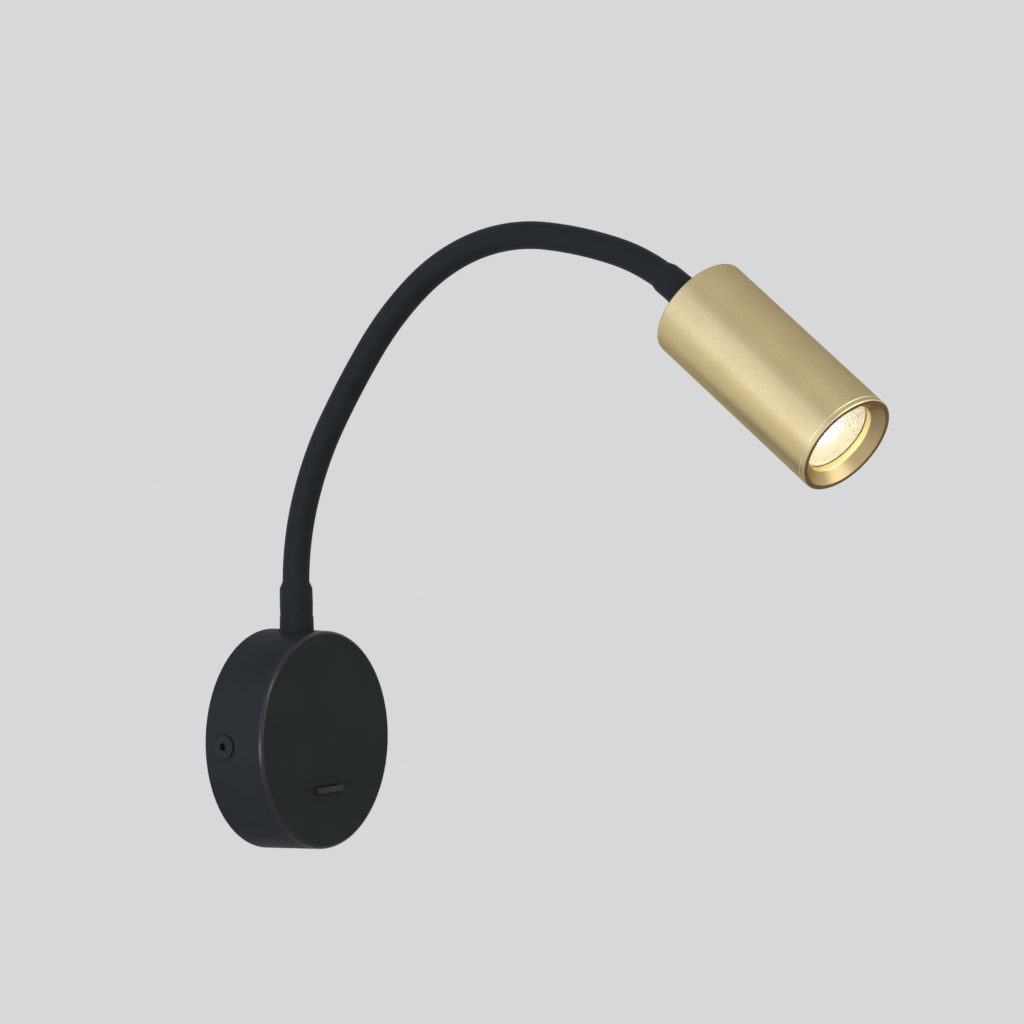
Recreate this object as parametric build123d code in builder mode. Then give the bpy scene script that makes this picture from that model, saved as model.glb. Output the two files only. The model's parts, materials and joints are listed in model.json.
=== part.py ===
from build123d import *
import os
from math import cos, radians, sin, tan

# Bedside wall reading lamp: a round wall box with a rocker switch, a flexible neck and a spot head.
# Millimetres. The origin lies on the wall at the centre of the box's back, +Z is up and the lamp
# stands out from the wall towards -Y. "out" is a distance from the wall, so y = -out.

os.makedirs("parts", exist_ok=True)

# ---------------------------------------------------------------- driving dimensions
# Wall box
housing_front_radius = 57.5
housing_draft = 0.6  # how much wider the side is at the wall
housing_depth = 36.0
housing_wall = 2.4
housing_face = 2.6
housing_edge_radius = 2.0
seat_depth = 0.8  # spot-faced seats on the curved side, below its crown

# Wall plate and the screws that hold the box on it
plate_gap = 0.9
plate_thickness = 1.8
wall_slot_spacing = 60.0
wall_slot_width = 4.6
wall_slot_length = 12.0
tab_width = 18.0
tab_thickness = 3.0
tab_clearance = 0.3
side_boss_thickness = 5.0
side_boss_radius = 7.6
side_screw_out = 11.8
side_screw_radius = 3.0
side_screw_clearance = 0.3
side_head_radius = 6.1
side_head_height = 1.7
side_seat_gap = 0.6
hex_socket_width = 4.0
hex_socket_depth = 3.2

# Cable entry
grommet_bore_radius = 4.0
grommet_body_radius = 7.9
grommet_flange_radius = 10.0
grommet_flange_height = 1.8
grommet_nose_radius = 6.4
grommet_nose_height = 2.0

# Terminal block
pole_pitch = 11.0
pole_count = 3
block_width = 36.0
block_height = 16.0
block_depth = 14.0
block_z = 22.0
port_radius = 1.7
port_height = 7.0
terminal_screw_radius = 1.8
terminal_screw_spacing = 9.0
terminal_screw_sink = 1.0

# Small screws and the earth tag
small_screw_radius = 1.5
small_head_radius = 2.7
small_head_height = 2.0
tag_thickness = 1.0
tag_radius = 5.0
tag_barrel_length = 7.0
tag_x = 24.0
tag_z = -22.0

# Rocker switch
rocker_z = -25.9
rocker_length = 23.0
rocker_thickness = 3.1
rocker_proud = 3.05
rocker_pivot_depth = 5.5
rocker_tilt = 3.5
rocker_inner = 1.5
rocker_nib_width = 3.0
rocker_nib_length = 3.0
rocker_edge_radius = 1.5
hub_radius = 2.6
trunnion_radius = 1.5
trunnion_length = 3.0
running_clearance = 0.05
slot_gap_long = 0.6
slot_gap_thin = 0.35
switch_wall = 2.0
switch_depth = 16.0
switch_thickness = 13.0
switch_boss_radius = 3.2
switch_boss_height = 5.0
switch_boss_gap = 0.4
ear_thickness = 1.6
ear_width = 8.0
blade_pitch = 18.0
blade_width = 4.8
blade_thickness = 0.8
blade_length = 7.0
blade_root = 2.0

# Flexible neck
link_turns = (18.7, 14.8, 5.5, 14.0, 21.3, 21.5, 9.5, 21.4)
link_length = 46.9
neck_yaw = 6.8
base_end_length = 22.5
head_end_length = 14.0
sleeve_radius = 7.1
sleeve_wall = 1.8
collar_radius = 8.7
collar_foot_radius = 9.1
head_collar_radius = 8.4
head_collar_reach = 12.0  # how far the upper collar runs down the last link
collar_taper = 3.5
conduit_radius = 5.1
conduit_wall = 1.8
ball_growth = 1.35  # how far each ball seat's radius exceeds the tube's
joint_gap = 0.3
lead_radius = 1.0
lead_offset = 1.5

# Routes of the leads in the box
lead_grip = 7.0  # how far a lead reaches into a clamp
lead_tail = 7.0  # straight run out of a clamp
short_tail = 4.0
live_rise = 16.0
switched_rise = 12.0
block_lift = 7.0  # how far the switched lead passes over the terminal block

# Ferrules that clamp the neck
thread_radius = 5.0
crimp_radius = 6.4
fit_gap = 0.05
base_thread_length = 13.0
base_crimp_length = 13.0
head_thread_length = 9.0
head_crimp_length = 9.0
crimp_floor = 2.0
seat_boss_thickness = 3.5
seat_boss_radius = 10.0
nut_width = 14.0
nut_height = 4.0
washer_radius = 8.0
washer_thickness = 1.0

# Spot head
head_radius = 27.5
head_length = 113.5
head_wall = 2.2
head_back = 3.0
head_back_radius = 1.2
ring_length = 3.0
ring_chamfer = 0.5
ring_mouth_radius = 24.8
ring_bore_radius = 19.7
ring_cone_depth = 5.4
ring_bore_depth = 3.6
ring_thread_gap = 0.1

# Lamp and its holder
lamp_gap = 0.4
lamp_rim_height = 7.0
lamp_neck_radius = 13.5
lamp_neck_height = 8.0
lamp_length = 49.8
lamp_cavity_radius = 12.0
lamp_shoulder = 11.0
lens_radius = 19.3
lens_height = 6.0
lens_gap = 0.3
lens_pocket_radius = 6.5
lens_pocket_depth = 2.5
lens_proud = 0.2
board_thickness = 1.6
chip_radius = 5.0
chip_height = 0.8
pin_pitch = 10.0
pin_radius = 1.25
pin_head_radius = 2.4
pin_head_height = 2.3
pin_length = 7.0
pin_root = 1.5
pin_well_gap = 0.4
holder_radius = 13.5
holder_height = 16.0
holder_lead_pitch = 9.0
holder_lead_depth = 4.0
holder_screw_pitch = 20.0
strap_thickness = 1.2
strap_width = 12.0
strap_reach = 15.6
strap_flange = 8.4

# ---------------------------------------------------------------- derived places
wall_face = Plane(origin=(0, 0, 0), x_dir=(1, 0, 0), z_dir=(0, -1, 0))
face_inner = housing_depth - housing_face
neck_out = housing_depth / 2


def housing_radius_at(out):
    """Outer radius of the drafted side at a distance from the wall."""
    return housing_front_radius + housing_draft * (1 - out / housing_depth)


housing_back_radius = housing_radius_at(0)
neck_seat = housing_radius_at(neck_out) - seat_depth
side_seat = housing_radius_at(side_screw_out) - seat_depth
tab_outer = side_seat - side_boss_thickness - tab_clearance
plate_radius = housing_back_radius - housing_wall - plate_gap
grommet_hole_radius = grommet_body_radius + running_clearance

heading = Vector(-sin(radians(neck_yaw)), -cos(radians(neck_yaw)), 0)
upward = Vector(0, 0, 1)
bend_axis = upward.cross(heading)
conduit_bore = conduit_radius - conduit_wall
sleeve_bore = sleeve_radius - sleeve_wall
base_seat = Plane(origin=(0, -neck_out, neck_seat), x_dir=bend_axis, z_dir=upward)


def along(frame, distance):
    """The point at a distance along a frame's axis."""
    return frame.origin + frame.z_dir * distance


def section(frame):
    """The plane through a frame's axis, where x is the radius and y the height."""
    return Plane(origin=frame.origin, x_dir=frame.x_dir, z_dir=frame.x_dir.cross(frame.z_dir))


def direction_at(angle):
    """The neck's direction once it has turned by an angle from upright."""
    return heading * sin(radians(angle)) + upward * cos(radians(angle))


def link_radius(turn_angle):
    """The radius of a stretch of the neck that turns by an angle over its length."""
    return link_length / radians(turn_angle)


def arc_centre(pivot, turn_angle):
    """The centre of the bend that starts at a pivot's frame."""
    return pivot.origin - pivot.y_dir * link_radius(turn_angle)


def neck_pivots():
    """A frame at every pivot of the neck, its z along the neck and its x the bend axis."""
    point = along(base_seat, base_end_length)
    angle = 0
    frames = []
    for turn_angle in link_turns:
        frames.append(Plane(origin=point, x_dir=bend_axis, z_dir=direction_at(angle)))
        centre = arc_centre(frames[-1], turn_angle)
        angle += turn_angle
        point = centre + direction_at(angle - 90) * link_radius(turn_angle)
    frames.append(Plane(origin=point, x_dir=bend_axis, z_dir=direction_at(angle)))
    return frames


pivots = neck_pivots()
base_ball = collar_radius + ball_growth
neck_ball = sleeve_radius + ball_growth
head_ball = head_collar_radius + ball_growth
seat_balls = [base_ball] + [neck_ball] * (len(link_turns) - 1) + [head_ball]
head_frame = Plane(
    origin=along(pivots[-1], head_end_length), x_dir=bend_axis, z_dir=pivots[-1].z_dir
)
head_seat = Plane(origin=head_frame.origin, x_dir=bend_axis, z_dir=head_frame.z_dir * -1)
print("neck pivots", [tuple(round(v, 2) for v in pivot.origin) for pivot in pivots])
print("head back", tuple(round(v, 2) for v in head_frame.origin))


# ---------------------------------------------------------------- shared operations
def save(piece, name):
    """Labels a finished piece and writes its file."""
    piece.part.label = name
    export_step(piece.part, f"parts/{name}.step")


def lathe(frame, outline, mode=Mode.ADD):
    """Turns an outline of (radius, height) points round a frame's axis."""
    with BuildSketch(section(frame)) as profile:
        with BuildLine():
            Polyline(*outline, close=True)
        make_face()
    revolve(profile.sketch, axis=Axis(frame.origin, frame.z_dir), mode=mode)


def disc(frame, radius, start, end, mode=Mode.ADD):
    """A round disc or bore between two heights on a frame's axis."""
    with BuildSketch(frame.offset(start)) as profile:
        Circle(radius)
    extrude(profile.sketch, amount=end - start, mode=mode)


def ball(centre, radius, mode):
    """Keeps or removes what lies inside a ball."""
    with Locations(centre):
        Sphere(radius, mode=mode)


def tube_face(frame, outer, inner):
    """A ring square to a frame's axis."""
    with BuildSketch(frame) as profile:
        Circle(outer)
        Circle(inner, mode=Mode.SUBTRACT)
    return profile.sketch


def lead_face(frame):
    """The two leads' sections side by side on a frame."""
    with BuildSketch(frame) as profile:
        with Locations((-lead_offset, 0), (lead_offset, 0)):
            Circle(lead_radius)
    return profile.sketch


def nose(pivot, face, seat_ball):
    """The rounded start of a moving stretch, a gap smaller than the ball seat it turns in."""
    nose_ball = seat_ball - joint_gap
    extrude(face, amount=-nose_ball)
    ball(pivot.origin, nose_ball, Mode.INTERSECT)


def bent(start, turn_angle, face, length=link_length, mode=Mode.ADD):
    """Carries a section round a link's bend, from a frame on it and for a length along it."""
    axis = Axis(arc_centre(start, turn_angle), bend_axis)
    revolve(face, axis=axis, revolution_arc=turn_angle * length / link_length, mode=mode)


def station(pivot, turn_angle, length):
    """The frame part of the way round the bend that starts at a pivot."""
    spin = Axis((0, 0, 0), bend_axis)
    share = turn_angle * length / link_length
    centre = arc_centre(pivot, turn_angle)
    origin = centre + (pivot.origin - centre).rotate(spin, share)
    return Plane(origin=origin, x_dir=bend_axis, z_dir=pivot.z_dir.rotate(spin, share))


def round_face(frame, radius):
    """A full round section square to a frame's axis."""
    with BuildSketch(frame) as profile:
        Circle(radius)
    return profile.sketch


def taper(wide_frame, wide_radius, narrow_frame):
    """The cone between a collar's end and the sleeve."""
    wide = round_face(wide_frame, wide_radius)
    narrow = round_face(narrow_frame, sleeve_radius)
    loft([wide.face(), narrow.face()])


def corner_radii(points):
    """For each corner of a route, 0.45 of its shorter run over the tangent of half the turn."""
    route = [Vector(*point) for point in points]
    radii = []
    for before, corner, after in zip(route, route[1:], route[2:]):
        run_in = corner - before
        run_out = after - corner
        half_turn = radians(run_in.get_angle(run_out) / 2)
        radii.append(0.45 * min(run_in.length, run_out.length) / tan(half_turn))
    return radii


def lead(points):
    """A lead of round section along a route of straight runs and tangent arcs."""
    radii = corner_radii(points)
    print("lead radii", [round(radius, 1) for radius in radii])
    with BuildLine() as route:
        FilletPolyline(*points, radius=radii)
    with BuildSketch(Plane(origin=route.wire() @ 0, z_dir=route.wire() % 0)) as profile:
        Circle(lead_radius)
    sweep(profile.sketch, path=route.wire())


# ---------------------------------------------------------------- wall plate
with BuildPart() as wall_plate:
    with BuildSketch(wall_face):
        Circle(plate_radius)
        Circle(grommet_hole_radius, mode=Mode.SUBTRACT)
        with GridLocations(wall_slot_spacing, 1, 2, 1):
            SlotOverall(wall_slot_length, wall_slot_width, mode=Mode.SUBTRACT)
    extrude(amount=plate_thickness)
    tab_length = side_screw_out + side_boss_radius
    for side in (-1, 1):
        with Locations((side * (tab_outer - tab_thickness / 2), -tab_length / 2, 0)):
            Box(tab_thickness, tab_length, tab_width)
    with Locations(Plane(origin=(0, -side_screw_out, 0), z_dir=(1, 0, 0))):
        Hole(side_screw_radius + fit_gap)
    with Locations(
        wall_face * Location((pole_pitch / 2, block_z)),
        wall_face * Location((tag_x, tag_z)),
    ):
        Hole(small_screw_radius + fit_gap, depth=plate_thickness * 2)
save(wall_plate, "wall_plate")

with BuildPart() as cable_grommet:
    flange_top = plate_thickness + grommet_flange_height
    nose_top = flange_top + grommet_nose_height
    lathe(
        wall_face,
        [
            (grommet_bore_radius, 0),
            (grommet_body_radius, 0),
            (grommet_body_radius, plate_thickness),
            (grommet_flange_radius, plate_thickness),
            (grommet_flange_radius, flange_top),
            (grommet_nose_radius, nose_top),
            (grommet_bore_radius, nose_top),
        ],
    )
save(cable_grommet, "cable_grommet")

# ---------------------------------------------------------------- base housing
switch_half_length = rocker_length / 2 + slot_gap_long
switch_half_width = switch_half_length + switch_wall
switch_boss_x = switch_half_width + switch_boss_radius + switch_boss_gap

with BuildPart() as base_housing:
    lathe(
        wall_face,
        [
            (0, face_inner),
            (0, housing_depth),
            (housing_front_radius, housing_depth),
            (housing_back_radius, 0),
            (housing_back_radius - housing_wall, 0),
            (housing_front_radius - housing_wall, face_inner),
        ],
    )
    fillet(
        base_housing.edges().filter_by(GeomType.CIRCLE).sort_by(Axis.Y)[0], housing_edge_radius
    )
    # the thickened seats behind the neck and behind the two side screws
    disc(base_seat, seat_boss_radius, -seat_boss_thickness, -seat_depth / 2)
    for side in (-1, 1):
        side_frame = Plane(origin=(side * side_seat, -side_screw_out, 0), z_dir=(side, 0, 0))
        disc(side_frame, side_boss_radius, -side_boss_thickness, -seat_depth / 2)
    # the switch screws' bosses behind the face
    for side in (-1, 1):
        boss_frame = Plane(
            origin=(side * switch_boss_x, 0, rocker_z), x_dir=(1, 0, 0), z_dir=(0, -1, 0)
        )
        disc(boss_frame, switch_boss_radius, face_inner - switch_boss_height, face_inner)
        disc(
            boss_frame,
            small_screw_radius + fit_gap,
            face_inner - switch_boss_height,
            face_inner,
            Mode.SUBTRACT,
        )
    # the spot faces and the holes through them
    disc(base_seat, collar_foot_radius + side_seat_gap, 0, seat_depth * 3, Mode.SUBTRACT)
    disc(base_seat, thread_radius + fit_gap, -seat_boss_thickness * 2, 0, Mode.SUBTRACT)
    for side in (-1, 1):
        side_frame = Plane(origin=(side * side_seat, -side_screw_out, 0), z_dir=(side, 0, 0))
        disc(side_frame, side_head_radius + side_seat_gap, 0, seat_depth * 3, Mode.SUBTRACT)
        disc(
            side_frame,
            side_screw_radius + side_screw_clearance,
            -side_boss_thickness * 2,
            0,
            Mode.SUBTRACT,
        )
    # the rocker's slot in the face
    with BuildSketch(wall_face.offset(face_inner)):
        with Locations((0, rocker_z)):
            Rectangle(switch_half_length * 2, rocker_thickness + slot_gap_thin * 2)
    extrude(amount=housing_face * 2, mode=Mode.SUBTRACT)
save(base_housing, "base_housing")

with BuildPart() as side_screws:
    for side in (-1, 1):
        side_frame = Plane(origin=(side * side_seat, -side_screw_out, 0), z_dir=(side, 0, 0))
        shank_length = side_boss_thickness + tab_clearance + tab_thickness + side_screw_clearance
        disc(side_frame, side_head_radius, 0, side_head_height)
        disc(side_frame, side_screw_radius, -shank_length, 0)
        with BuildSketch(side_frame.offset(side_head_height)):
            RegularPolygon(hex_socket_width / 2, 6, major_radius=False)
        extrude(amount=-hex_socket_depth, mode=Mode.SUBTRACT)
save(side_screws, "side_screws")

# ---------------------------------------------------------------- rocker switch
rocker_pivot_out = housing_depth - rocker_pivot_depth
rocker_frame = Plane(
    origin=(0, -rocker_pivot_out, rocker_z),
    x_dir=(cos(radians(rocker_tilt)), sin(radians(rocker_tilt)), 0),
    z_dir=(0, 0, 1),
)
rocker_reach = rocker_pivot_depth + rocker_proud
half_rocker = rocker_thickness / 2
cavity_half = half_rocker + slot_gap_thin
trunnion_end = half_rocker + trunnion_length
switch_back = face_inner - switch_depth
cavity_back = rocker_pivot_out - rocker_inner - rocker_nib_length - slot_gap_long

with BuildPart() as rocker:
    with BuildSketch(rocker_frame.offset(-half_rocker)):
        with Locations((0, (rocker_inner - rocker_reach) / 2)):
            RectangleRounded(
                rocker_length, rocker_reach + rocker_inner, rocker_edge_radius
            )
        Circle(hub_radius)
        with Locations((0, rocker_inner + rocker_nib_length / 2)):
            Rectangle(rocker_nib_width, rocker_nib_length)
    extrude(amount=rocker_thickness)
    disc(rocker_frame, trunnion_radius, -trunnion_end, trunnion_end)
save(rocker, "rocker")

with BuildPart() as switch_body:
    with BuildSketch(wall_face.offset(switch_back)):
        with Locations((0, rocker_z)):
            Rectangle(switch_half_width * 2, switch_thickness)
    extrude(amount=switch_depth)
    ear_top = face_inner - switch_boss_height
    with BuildSketch(wall_face.offset(ear_top - ear_thickness)):
        with Locations((0, rocker_z)):
            SlotOverall((switch_boss_x + ear_width / 2) * 2, ear_width)
    extrude(amount=ear_thickness)
    with BuildSketch(wall_face.offset(cavity_back)):
        with Locations((0, rocker_z)):
            Rectangle(switch_half_length * 2, cavity_half * 2)
    extrude(amount=switch_depth, mode=Mode.SUBTRACT)
    pivot_frame = Plane(
        origin=(0, -rocker_pivot_out, rocker_z), x_dir=(1, 0, 0), z_dir=(0, 0, 1)
    )
    bore_end = trunnion_end + slot_gap_thin
    disc(pivot_frame, trunnion_radius + running_clearance, -bore_end, bore_end, Mode.SUBTRACT)
    for side in (-1, 1):
        ear_frame = Plane(
            origin=(side * switch_boss_x, 0, rocker_z), x_dir=(1, 0, 0), z_dir=(0, -1, 0)
        )
        disc(
            ear_frame,
            small_screw_radius + fit_gap,
            ear_top - ear_thickness * 2,
            ear_top,
            Mode.SUBTRACT,
        )
    with BuildSketch(wall_face.offset(switch_back)):
        with Locations((-blade_pitch / 2, rocker_z), (blade_pitch / 2, rocker_z)):
            Rectangle(blade_thickness, blade_width)
    extrude(amount=blade_root, mode=Mode.SUBTRACT)
save(switch_body, "switch_body")

with BuildPart() as switch_terminals:
    with BuildSketch(wall_face.offset(switch_back + blade_root)):
        with Locations((-blade_pitch / 2, rocker_z), (blade_pitch / 2, rocker_z)):
            Rectangle(blade_thickness, blade_width)
    extrude(amount=-(blade_root + blade_length))
save(switch_terminals, "switch_terminals")

with BuildPart() as switch_screws:
    for side in (-1, 1):
        ear_frame = Plane(
            origin=(side * switch_boss_x, 0, rocker_z), x_dir=(1, 0, 0), z_dir=(0, -1, 0)
        )
        head_seat_out = ear_top - ear_thickness
        disc(ear_frame, small_head_radius, head_seat_out - small_head_height, head_seat_out)
        disc(
            ear_frame,
            small_screw_radius,
            head_seat_out,
            ear_top + switch_boss_height - running_clearance,
        )
save(switch_screws, "switch_screws")

# ---------------------------------------------------------------- terminal block and earth tag
block_top = plate_thickness + block_depth
port_out = plate_thickness + port_height
pole_places = [(pole - (pole_count - 1) / 2) * pole_pitch for pole in range(pole_count)]
screw_places = [
    (x, block_z + end * terminal_screw_spacing / 2) for x in pole_places for end in (-1, 1)
]

with BuildPart() as terminal_block:
    with BuildSketch(wall_face.offset(plate_thickness)):
        with Locations((0, block_z)):
            Rectangle(block_width, block_height)
    extrude(amount=block_depth)
    for x in pole_places:
        with BuildSketch(Plane.XY.offset(block_z - block_height / 2)):
            with Locations((x, -port_out)):
                Circle(port_radius)
        extrude(amount=block_height, mode=Mode.SUBTRACT)
    with BuildSketch(wall_face.offset(port_out)):
        with Locations(*screw_places):
            Circle(terminal_screw_radius + fit_gap)
    extrude(amount=block_depth, mode=Mode.SUBTRACT)
    mount_frame = Plane(
        origin=(pole_pitch / 2, 0, block_z), x_dir=(1, 0, 0), z_dir=(0, -1, 0)
    )
    block_floor = plate_thickness + tag_thickness
    disc(mount_frame, small_screw_radius + fit_gap, 0, block_floor, Mode.SUBTRACT)
    disc(mount_frame, small_head_radius + joint_gap, block_floor, block_top, Mode.SUBTRACT)
save(terminal_block, "terminal_block")

with BuildPart() as terminal_screws:
    screw_tip = port_out + lead_radius
    screw_top = block_top - terminal_screw_sink
    with BuildSketch(wall_face.offset(screw_tip)):
        with Locations(*screw_places):
            Circle(terminal_screw_radius)
    extrude(amount=screw_top - screw_tip)
    with BuildSketch(wall_face.offset(screw_top)):
        with Locations(*screw_places):
            Rectangle(terminal_screw_radius * 3, terminal_screw_radius / 3)
    extrude(amount=-terminal_screw_radius / 2, mode=Mode.SUBTRACT)
save(terminal_screws, "terminal_screws")

tag_frame = Plane(origin=(tag_x, 0, tag_z), x_dir=(1, 0, 0), z_dir=(0, -1, 0))
with BuildPart() as earth_tag:
    with BuildSketch(wall_face.offset(plate_thickness)):
        with Locations((tag_x, tag_z)):
            Circle(tag_radius)
        with Locations((tag_x, tag_z + (tag_radius + tag_barrel_length) / 2)):
            Rectangle(lead_radius * 4, tag_radius + tag_barrel_length)
    extrude(amount=tag_thickness)
    disc(tag_frame, small_screw_radius + fit_gap, 0, plate_thickness + tag_thickness, Mode.SUBTRACT)
save(earth_tag, "earth_tag")

with BuildPart() as plate_screws:
    for frame in (mount_frame, tag_frame):
        disc(frame, small_head_radius, block_floor, block_floor + small_head_height)
        disc(frame, small_screw_radius, running_clearance, block_floor)
save(plate_screws, "plate_screws")

# ---------------------------------------------------------------- neck ends on the box
with BuildPart() as lower_ferrule:
    lathe(
        base_seat,
        [
            (conduit_bore, -base_thread_length),
            (thread_radius, -base_thread_length),
            (thread_radius, 0),
            (crimp_radius, 0),
            (crimp_radius, base_crimp_length),
            (conduit_radius + fit_gap, base_crimp_length),
            (conduit_radius + fit_gap, crimp_floor),
            (conduit_bore, crimp_floor),
        ],
    )
save(lower_ferrule, "lower_ferrule")

with BuildPart() as lower_collar:
    lathe(
        base_seat,
        [
            (crimp_radius + fit_gap, 0),
            (collar_foot_radius, 0),
            (collar_radius, base_end_length),
            (sleeve_bore, base_end_length),
            (sleeve_bore, base_crimp_length + fit_gap),
            (crimp_radius + fit_gap, base_crimp_length + fit_gap),
        ],
    )
    ball(pivots[0].origin, base_ball, Mode.SUBTRACT)
save(lower_collar, "lower_collar")

with BuildPart() as conduit_base_end:
    conduit_face = tube_face(base_seat.offset(crimp_floor), conduit_radius, conduit_bore)
    extrude(conduit_face, amount=base_end_length - crimp_floor)
    ball(pivots[0].origin, base_ball, Mode.SUBTRACT)
save(conduit_base_end, "conduit_base_end")

with BuildPart() as ferrule_washer:
    disc(base_seat, washer_radius, -seat_boss_thickness - washer_thickness, -seat_boss_thickness)
    disc(base_seat, thread_radius + fit_gap, -base_thread_length, 0, Mode.SUBTRACT)
save(ferrule_washer, "ferrule_washer")


def nut(frame, start):
    """A hexagon nut that starts at a height on a frame's axis."""
    with BuildSketch(frame.offset(start)) as profile:
        RegularPolygon(nut_width / 2, 6, major_radius=False)
        Circle(thread_radius + fit_gap, mode=Mode.SUBTRACT)
    extrude(profile.sketch, amount=nut_height)


with BuildPart() as ferrule_nut:
    nut(base_seat, -seat_boss_thickness - washer_thickness - nut_height)
save(ferrule_nut, "ferrule_nut")

# ---------------------------------------------------------------- neck links
for number, turn_angle in enumerate(link_turns, start=1):
    start = pivots[number - 1]
    seat = pivots[number].origin

    with BuildPart() as neck_sleeve:
        if number == 1:
            nose(start, round_face(start, collar_radius), seat_balls[0])
            taper(start, collar_radius, station(start, turn_angle, collar_taper))
        else:
            nose(start, round_face(start, sleeve_radius), seat_balls[number - 1])
        bent(start, turn_angle, round_face(start, sleeve_radius))
        if number == len(link_turns):
            collar_start = station(start, turn_angle, link_length - head_collar_reach)
            narrow_length = link_length - head_collar_reach - collar_taper
            taper(collar_start, head_collar_radius, station(start, turn_angle, narrow_length))
            collar_face = round_face(collar_start, head_collar_radius)
            bent(collar_start, turn_angle, collar_face, head_collar_reach)
        # the bore runs straight through the nose and then follows the bend
        disc(start, sleeve_bore, -seat_balls[number - 1], 0, Mode.SUBTRACT)
        bent(start, turn_angle, round_face(start, sleeve_bore), mode=Mode.SUBTRACT)
        ball(seat, seat_balls[number], Mode.SUBTRACT)
    save(neck_sleeve, f"neck_sleeve_{number}")

    with BuildPart() as neck_conduit:
        conduit_face = tube_face(start, conduit_radius, conduit_bore)
        nose(start, conduit_face, seat_balls[number - 1])
        bent(start, turn_angle, conduit_face)
        ball(seat, seat_balls[number], Mode.SUBTRACT)
    save(neck_conduit, f"neck_conduit_{number}")

    with BuildPart() as neck_leads:
        nose(start, lead_face(start), seat_balls[number - 1])
        bent(start, turn_angle, lead_face(start))
        ball(seat, seat_balls[number], Mode.SUBTRACT)
    save(neck_leads, f"neck_leads_{number}")

# ---------------------------------------------------------------- neck end on the head
last_pivot = pivots[-1]

with BuildPart() as upper_collar:
    nose(last_pivot, tube_face(last_pivot, head_collar_radius, sleeve_bore), head_ball)
    lathe(
        head_seat,
        [
            (crimp_radius + fit_gap, 0),
            (head_collar_radius, 0),
            (head_collar_radius, head_end_length),
            (sleeve_bore, head_end_length),
            (sleeve_bore, head_crimp_length + fit_gap),
            (crimp_radius + fit_gap, head_crimp_length + fit_gap),
        ],
    )
save(upper_collar, "upper_collar")

with BuildPart() as upper_ferrule:
    lathe(
        head_seat,
        [
            (conduit_bore, -head_thread_length),
            (thread_radius, -head_thread_length),
            (thread_radius, 0),
            (crimp_radius, 0),
            (crimp_radius, head_crimp_length),
            (conduit_radius + fit_gap, head_crimp_length),
            (conduit_radius + fit_gap, crimp_floor),
            (conduit_bore, crimp_floor),
        ],
    )
save(upper_ferrule, "upper_ferrule")

with BuildPart() as conduit_head_end:
    conduit_face = tube_face(last_pivot, conduit_radius, conduit_bore)
    nose(last_pivot, conduit_face, head_ball)
    extrude(conduit_face, amount=head_end_length - crimp_floor)
save(conduit_head_end, "conduit_head_end")

# ---------------------------------------------------------------- head
shell_length = head_length - ring_length
shell_bore = head_radius - head_wall
ring_foot = head_length - ring_cone_depth - ring_bore_depth

with BuildPart() as head_shell:
    lathe(
        head_frame,
        [
            (thread_radius + fit_gap, 0),
            (head_radius, 0),
            (head_radius, shell_length - ring_chamfer / 2),
            (head_radius - ring_chamfer / 2, shell_length),
            (shell_bore, shell_length),
            (shell_bore, head_back),
            (thread_radius + fit_gap, head_back),
        ],
    )
    back_edges = head_shell.edges().filter_by(GeomType.CIRCLE)
    back_edge = back_edges.sort_by_distance(head_frame.origin)
    outer_back = [edge for edge in back_edge if abs(edge.radius - head_radius) < running_clearance]
    fillet(outer_back[0], head_back_radius)
save(head_shell, "head_shell")

with BuildPart() as front_ring:
    lathe(
        head_frame,
        [
            (ring_bore_radius, ring_foot),
            (shell_bore - ring_thread_gap, ring_foot),
            (shell_bore - ring_thread_gap, shell_length),
            (head_radius - ring_chamfer / 2, shell_length),
            (head_radius, shell_length + ring_chamfer / 2),
            (head_radius, head_length - ring_chamfer),
            (head_radius - ring_chamfer, head_length),
            (ring_mouth_radius, head_length),
            (ring_bore_radius, head_length - ring_cone_depth),
        ],
    )
save(front_ring, "front_ring")

with BuildPart() as head_nut:
    nut(head_frame, head_back + strap_thickness)
save(head_nut, "head_nut")

# ---------------------------------------------------------------- lamp
lamp_foot = ring_foot - lamp_length
lamp_radius = shell_bore - lamp_gap
recess_radius = lens_radius + lens_gap
board_seat = ring_foot + lens_proud - lens_height - board_thickness
rim_start = ring_foot - lamp_rim_height
neck_top = lamp_foot + lamp_neck_height

with BuildPart() as lamp_body:
    lathe(
        head_frame,
        [
            (0, lamp_foot),
            (lamp_neck_radius, lamp_foot),
            (lamp_neck_radius, neck_top),
            (lamp_radius, rim_start),
            (lamp_radius, ring_foot),
            (recess_radius, ring_foot),
            (recess_radius, board_seat),
            (lamp_cavity_radius, board_seat),
            (lamp_cavity_radius, lamp_foot + lamp_shoulder),
            (0, lamp_foot + lamp_shoulder),
        ],
    )
    with BuildSketch(head_frame.offset(lamp_foot)):
        with Locations((0, -pin_pitch / 2), (0, pin_pitch / 2)):
            Circle(pin_radius + fit_gap)
    extrude(amount=pin_root, mode=Mode.SUBTRACT)
save(lamp_body, "lamp_body")

with BuildPart() as lamp_board:
    board_top = board_seat + board_thickness
    disc(head_frame, lens_radius, board_seat, board_top)
    disc(head_frame, chip_radius, board_top, board_top + chip_height)
save(lamp_board, "lamp_board")

with BuildPart() as lamp_lens:
    lens_top = board_top + lens_height
    lathe(
        head_frame,
        [
            (0, board_top + lens_pocket_depth),
            (lens_pocket_radius, board_top + lens_pocket_depth),
            (lens_pocket_radius, board_top),
            (lens_radius, board_top),
            (lens_radius, lens_top),
            (0, lens_top),
        ],
    )
save(lamp_lens, "lamp_lens")

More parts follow.
